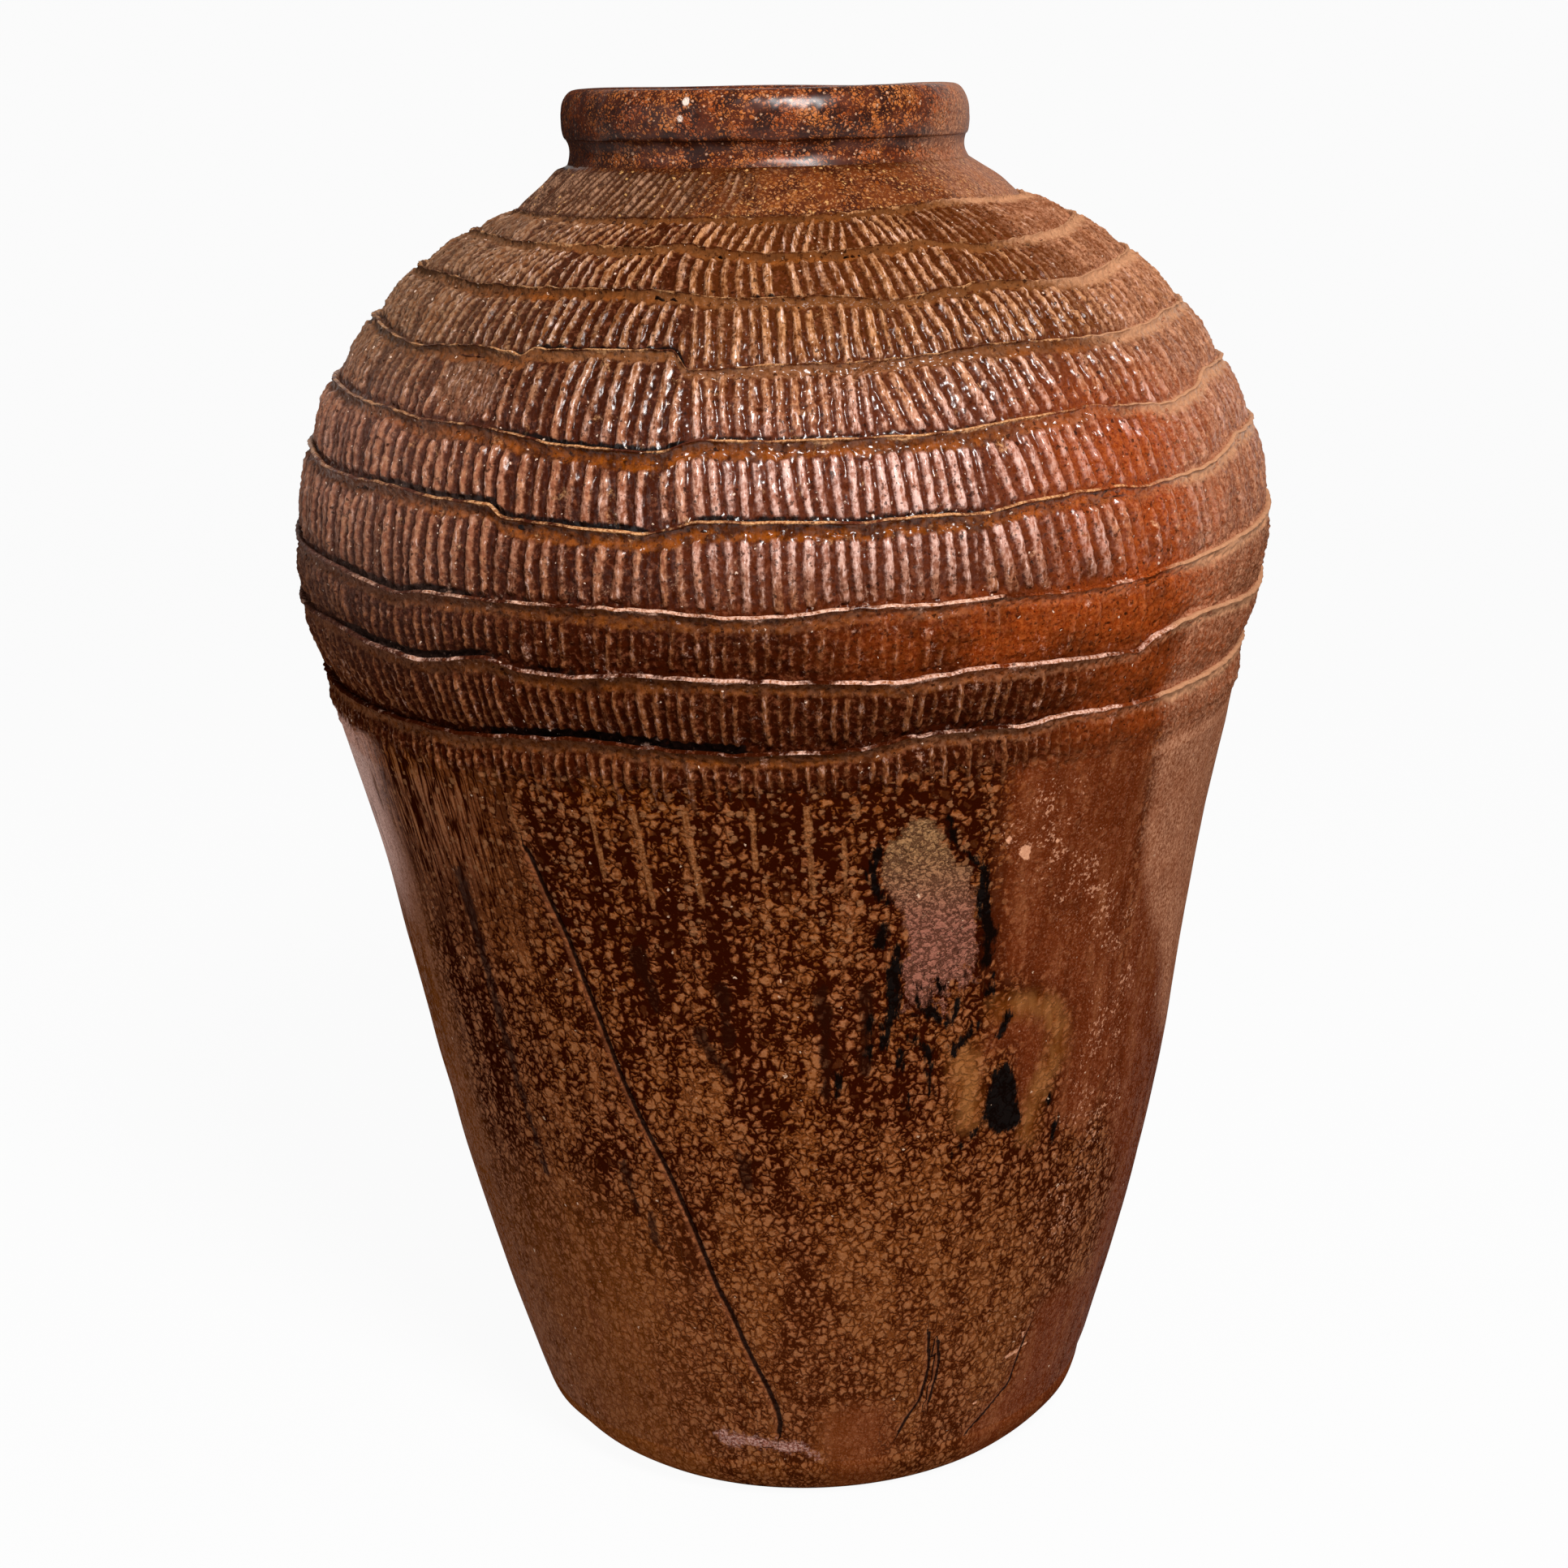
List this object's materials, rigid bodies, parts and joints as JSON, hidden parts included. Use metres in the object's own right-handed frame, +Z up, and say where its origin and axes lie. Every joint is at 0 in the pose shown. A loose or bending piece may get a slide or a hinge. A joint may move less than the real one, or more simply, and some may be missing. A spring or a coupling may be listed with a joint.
{
  "type": "storage jar",
  "caption": "Round coil-built storage jar of brown-glazed clay with a flat foot, flared wall, stepped paddle-grooved shoulder, short neck and rolled rim.",
  "frame": {"origin": "centre of the flat foot's underside, on the surface that the jar stands on", "axes": "+Z up along the jar's axis; the side in the picture faces -Y, with +X to its right"},
  "size_m": [0.3522, 0.3522, 0.5],
  "materials": {
    "bare_clay": "fired clay, matt and sandy",
    "plain_glaze": "treacle-brown glaze, crawled and dusty",
    "stamped_glaze": "treacle-brown glaze, thin on the ridges and black in the grooves",
    "rim_glaze": "dark treacle-brown glaze, glossy"
  },
  "bodies": {
    "root": {"base_disc": "bare_clay", "lower_course_1": "plain_glaze", "lower_course_2": "plain_glaze", "lower_course_3": "plain_glaze", "lower_course_4": "plain_glaze", "lower_course_5": "plain_glaze", "lower_course_6": "plain_glaze", "stamped_course_1": "stamped_glaze", "stamped_course_2": "stamped_glaze", "stamped_course_3": "stamped_glaze", "stamped_course_4": "stamped_glaze", "stamped_course_5": "stamped_glaze", "stamped_course_6": "stamped_glaze", "stamped_course_7": "stamped_glaze", "stamped_course_8": "stamped_glaze", "stamped_course_9": "stamped_glaze", "shoulder_collar": "plain_glaze", "neck_ring": "rim_glaze", "rim_roll": "rim_glaze"}
  },
  "joints": []
}
